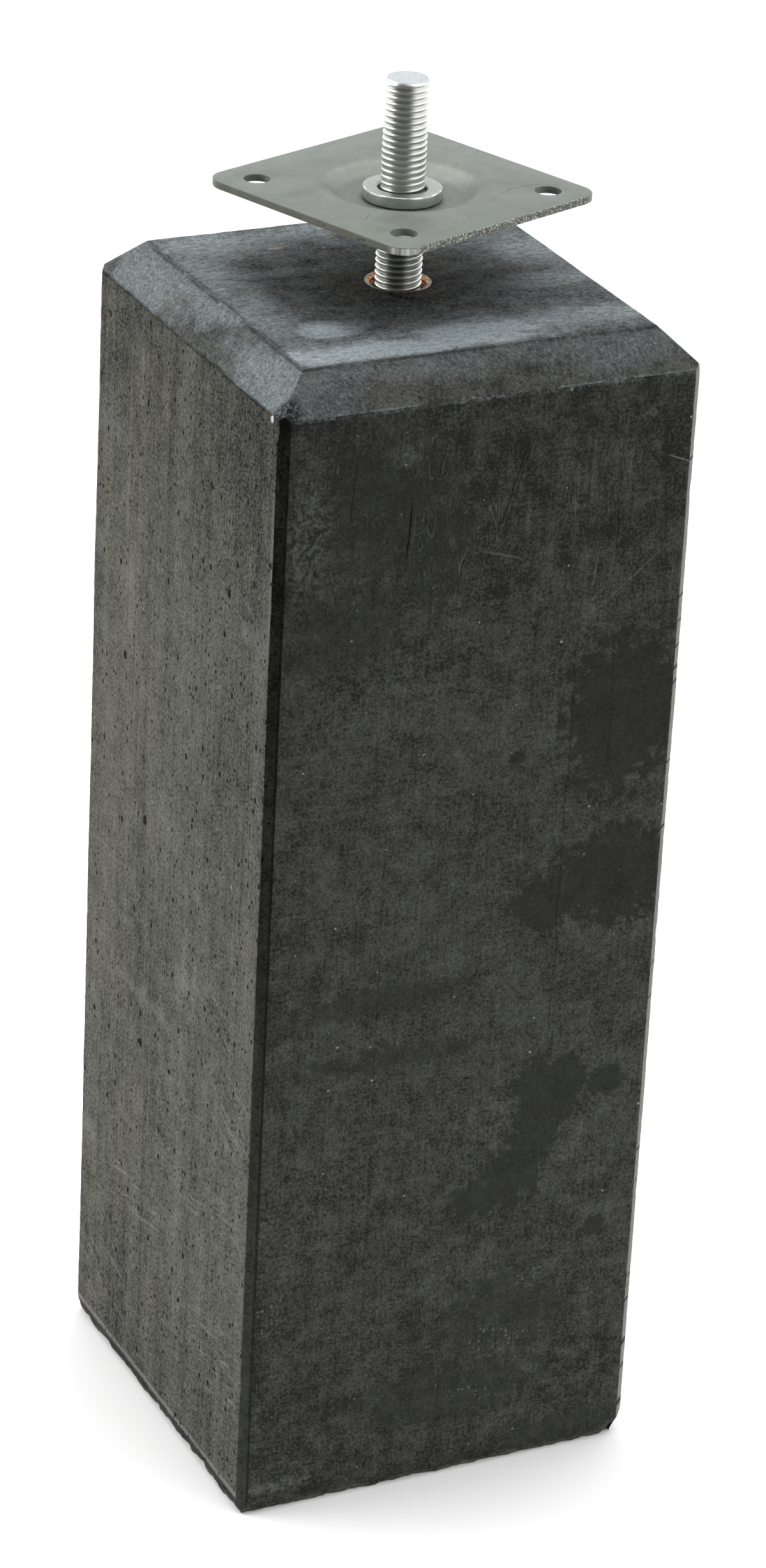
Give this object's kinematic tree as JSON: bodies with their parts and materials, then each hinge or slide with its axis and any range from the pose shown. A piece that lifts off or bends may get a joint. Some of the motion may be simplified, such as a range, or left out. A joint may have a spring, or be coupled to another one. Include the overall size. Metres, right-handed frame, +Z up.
{
  "type": "concrete post base block with an adjustable post plate",
  "caption": "Tall square concrete foundation block with a threaded rod on top, carrying a square steel post plate that turns and is set to height by a nut.",
  "frame": {"origin": "centre of the block's underside, on the rod's axis", "axes": "+Z up along the rod, +X and +Y square to the block's faces; the post plate is turned 20 degrees about +Z"},
  "size_m": [0.18, 0.18, 0.583],
  "materials": {
    "concrete": "matte",
    "socket_plating": "satin",
    "rod_zinc": "satin",
    "nut_zinc": "satin",
    "plate_zinc": "matte"
  },
  "bodies": {
    "base": {"concrete_block": "concrete", "threaded_socket": "socket_plating", "threaded_rod": "rod_zinc"},
    "nut": {"height_nut": "nut_zinc"},
    "plate": {"post_plate": "plate_zinc"}
  },
  "joints": [
    {"name": "height_adjust", "type": "slide", "parent": "base", "child": "nut", "axis": [0, 0, 1], "range_m": [-0.017, 0.04]},
    {"name": "plate_swivel", "type": "hinge", "parent": "nut", "child": "plate", "pos_m": [0, 0, 0.5396], "axis": [0, 0, 1], "continuous": true}
  ]
}
